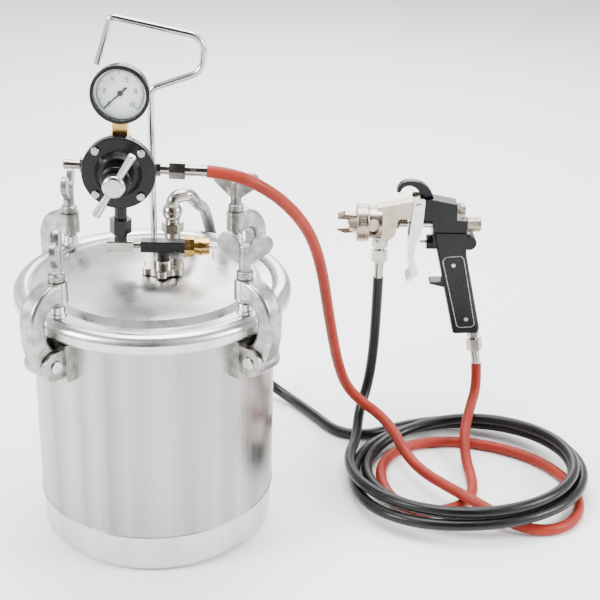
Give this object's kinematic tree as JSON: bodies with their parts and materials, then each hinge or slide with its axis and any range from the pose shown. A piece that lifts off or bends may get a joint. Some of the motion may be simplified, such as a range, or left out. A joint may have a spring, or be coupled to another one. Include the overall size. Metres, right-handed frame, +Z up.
{
  "type": "paint pressure pot with spray gun",
  "caption": "Round clamped-lid pressure tank with regulator, gauge, relief valve, swivel fluid outlet, carrying rod, a coiled fluid hose, an air hose and a spray gun.",
  "frame": {"origin": "centre of the pot's flat base, on the floor", "axes": "+Z up along the pot's axis; the regulator and gauge face -Y; the hoses and gun are on the +X side"},
  "size_m": [0.6135, 0.3818, 0.5203],
  "materials": {
    "wall_steel": "polished vertical grain",
    "base_steel": "satin",
    "lid_steel": "mirror polished",
    "gasket_rubber": "matte",
    "clamp_casting": "satin cast",
    "bracket_casting": "satin cast",
    "pin_steel": "turned",
    "wing_casting": "matte cast, threaded steel shank",
    "foot_steel": "turned",
    "rod_steel": "polished",
    "fitting_nickel": "nickel plate",
    "black_enamel": "gloss black",
    "brass": "machined",
    "spring_steel": "drawn wire",
    "diaphragm_rubber": "matte",
    "dial_white": "printed dial",
    "pointer_black": "matte",
    "gauge_glass": "clear",
    "ring_zinc": "zinc plate",
    "gun_nickel": "satin nickel",
    "gun_black": "gloss black",
    "trigger_polish": "polished",
    "red_hose": "semi-matte braided",
    "black_hose": "gloss"
  },
  "bodies": {
    "pot": {"pot_shell": "wall_steel", "base_cup": "base_steel", "lid": "lid_steel", "lid_gasket": "gasket_rubber", "clamp_brackets": "bracket_casting", "hinge_pins": "pin_steel", "handle_rod": "rod_steel", "air_block": "fitting_nickel", "block_nipple": "fitting_nickel", "manifold": "black_enamel", "port_nut": "fitting_nickel", "relief_valve": "brass", "regulator_riser": "black_enamel", "regulator_body": "black_enamel", "diaphragm": "diaphragm_rubber", "regulator_bonnet": "black_enamel", "bonnet_screws": "fitting_nickel", "regulator_spring": "spring_steel", "gauge_stem": "brass", "gauge_case": "black_enamel", "gauge_dial": "dial_white", "gauge_lens": "gauge_glass", "air_inlet_nipple": "fitting_nickel", "air_outlet_nipple": "fitting_nickel", "dip_tube": "fitting_nickel", "fluid_elbow": "fitting_nickel", "gun_body": "gun_black", "gun_head": "gun_nickel", "trigger_screw": "pin_steel", "packing_nut": "fitting_nickel", "fluid_tip": "gun_nickel", "gun_inlets": "fitting_nickel", "hose_couplings": "fitting_nickel", "air_hose": "red_hose", "fluid_hose_pot_side": "black_hose", "fluid_hose_gun_side": "black_hose", "fluid_hose_coil": "black_hose"},
    "clamp_1": {"clamp_arm_1": "clamp_casting"},
    "foot_1": {"clamp_foot_1": "foot_steel"},
    "wing_1": {"wing_screw_1": "wing_casting"},
    "clamp_2": {"clamp_arm_2": "clamp_casting"},
    "foot_2": {"clamp_foot_2": "foot_steel"},
    "wing_2": {"wing_screw_2": "wing_casting"},
    "clamp_3": {"clamp_arm_3": "clamp_casting"},
    "foot_3": {"clamp_foot_3": "foot_steel"},
    "wing_3": {"wing_screw_3": "wing_casting"},
    "clamp_4": {"clamp_arm_4": "clamp_casting"},
    "foot_4": {"clamp_foot_4": "foot_steel"},
    "wing_4": {"wing_screw_4": "wing_casting"},
    "seat": {"spring_seat": "pin_steel"},
    "tee_handle": {"regulator_handle": "rod_steel"},
    "pointer": {"gauge_pointer": "pointer_black"},
    "ring": {"relief_ring": "ring_zinc"},
    "trigger": {"trigger": "trigger_polish"},
    "needle": {"needle": "pin_steel"},
    "air_valve_stem": {"air_valve_stem": "pin_steel"},
    "fluid_knob": {"fluid_knob": "gun_nickel"},
    "spreader_knob": {"spreader_knob": "gun_nickel"},
    "cap_ring": {"cap_ring": "gun_nickel"},
    "air_cap": {"air_cap": "gun_nickel"}
  },
  "joints": [
    {"name": "clamp_1_swing", "type": "hinge", "parent": "pot", "child": "clamp_1", "pos_m": [0.10601, -0.0899, 0.227], "axis": [0.6468, 0.7627, 0], "range_deg": [0, 95]},
    {"name": "foot_1_rise", "type": "slide", "parent": "clamp_1", "child": "foot_1", "axis": [0, 0, 1], "range_m": [0, 0.003]},
    {"name": "wing_screw_1_turn", "type": "hinge", "parent": "foot_1", "child": "wing_1", "pos_m": [0.09228, -0.07826, 0.32], "axis": [0, 0, 1], "range_deg": [0, 540.2]},
    {"name": "clamp_2_swing", "type": "hinge", "parent": "pot", "child": "clamp_2", "pos_m": [0.0899, 0.10601, 0.227], "axis": [-0.7627, 0.6468, 0], "range_deg": [0, 95]},
    {"name": "foot_2_rise", "type": "slide", "parent": "clamp_2", "child": "foot_2", "axis": [0, 0, 1], "range_m": [0, 0.003]},
    {"name": "wing_screw_2_turn", "type": "hinge", "parent": "foot_2", "child": "wing_2", "pos_m": [0.07826, 0.09228, 0.32], "axis": [0, 0, 1], "range_deg": [0, 540.2]},
    {"name": "clamp_3_swing", "type": "hinge", "parent": "pot", "child": "clamp_3", "pos_m": [-0.10601, 0.0899, 0.227], "axis": [-0.6468, -0.7627, 0], "range_deg": [0, 95]},
    {"name": "foot_3_rise", "type": "slide", "parent": "clamp_3", "child": "foot_3", "axis": [0, 0, 1], "range_m": [0, 0.003]},
    {"name": "wing_screw_3_turn", "type": "hinge", "parent": "foot_3", "child": "wing_3", "pos_m": [-0.09228, 0.07826, 0.32], "axis": [0, 0, 1], "range_deg": [0, 540.2]},
    {"name": "clamp_4_swing", "type": "hinge", "parent": "pot", "child": "clamp_4", "pos_m": [-0.0899, -0.10601, 0.227], "axis": [0.7627, -0.6468, 0], "range_deg": [0, 95]},
    {"name": "foot_4_rise", "type": "slide", "parent": "clamp_4", "child": "foot_4", "axis": [0, 0, 1], "range_m": [0, 0.003]},
    {"name": "wing_screw_4_turn", "type": "hinge", "parent": "foot_4", "child": "wing_4", "pos_m": [-0.07826, -0.09228, 0.32], "axis": [0, 0, 1], "range_deg": [0, 540.2]},
    {"name": "spring_seat_slide", "type": "slide", "parent": "pot", "child": "seat", "axis": [0, 1, 0], "range_m": [0, 0.0045], "deforming": ["regulator_spring"]},
    {"name": "tee_handle_turn", "type": "hinge", "parent": "seat", "child": "tee_handle", "pos_m": [-0.02588, -0.07, 0.38796], "axis": [0, 1, 0], "range_deg": [0, 1080.3]},
    {"name": "gauge_pointer_turn", "type": "hinge", "parent": "pot", "child": "pointer", "pos_m": [-0.02351, -0.021, 0.45942], "axis": [0, 1, 0], "range_deg": [0, 270], "stiffness_Nm_per_rad": 0.001},
    {"name": "relief_ring_pull", "type": "slide", "parent": "pot", "child": "ring", "axis": [1, 0, 0], "range_m": [0, 0.003], "stiffness_N_per_m": 800, "springref_m": -0.002},
    {"name": "trigger_pull", "type": "hinge", "parent": "pot", "child": "trigger", "pos_m": [0.2775, 0.18, 0.282], "axis": [0, -1, 0], "range_deg": [0, 14], "stiffness_Nm_per_rad": 1.5, "springref_deg": -11.46},
    {"name": "needle_slide", "type": "slide", "parent": "pot", "child": "needle", "axis": [1, 0, 0], "range_m": [0, 0.0072]},
    {"name": "air_valve_stem_slide", "type": "slide", "parent": "pot", "child": "air_valve_stem", "axis": [1, 0, 0], "range_m": [0, 0.0072]},
    {"name": "fluid_knob_turn", "type": "hinge", "parent": "pot", "child": "fluid_knob", "pos_m": [0.34, 0.18, 0.2585], "axis": [1, 0, 0], "range_deg": [0, 1080]},
    {"name": "spreader_knob_turn", "type": "hinge", "parent": "pot", "child": "spreader_knob", "pos_m": [0.327, 0.18, 0.277], "axis": [1, 0, 0], "range_deg": [0, 720]},
    {"name": "cap_ring_turn", "type": "hinge", "parent": "pot", "child": "cap_ring", "pos_m": [0.215, 0.18, 0.2585], "axis": [1, 0, 0], "continuous": true},
    {"name": "air_cap_turn", "type": "hinge", "parent": "pot", "child": "air_cap", "pos_m": [0.205, 0.18, 0.2585], "axis": [1, 0, 0], "range_deg": [-90, 90]}
  ],
  "couplings": [
    {"joint": "wing_screw_1_turn", "follows": "foot_1_rise", "rad_per_m": 3141.6},
    {"joint": "wing_screw_2_turn", "follows": "foot_2_rise", "rad_per_m": 3141.6},
    {"joint": "wing_screw_3_turn", "follows": "foot_3_rise", "rad_per_m": 3141.6},
    {"joint": "wing_screw_4_turn", "follows": "foot_4_rise", "rad_per_m": 3141.6},
    {"joint": "tee_handle_turn", "follows": "spring_seat_slide", "rad_per_m": 4188.8},
    {"joint": "needle_slide", "follows": "trigger_pull", "m_per_rad": 0.028},
    {"joint": "air_valve_stem_slide", "follows": "trigger_pull", "m_per_rad": 0.0287}
  ]
}
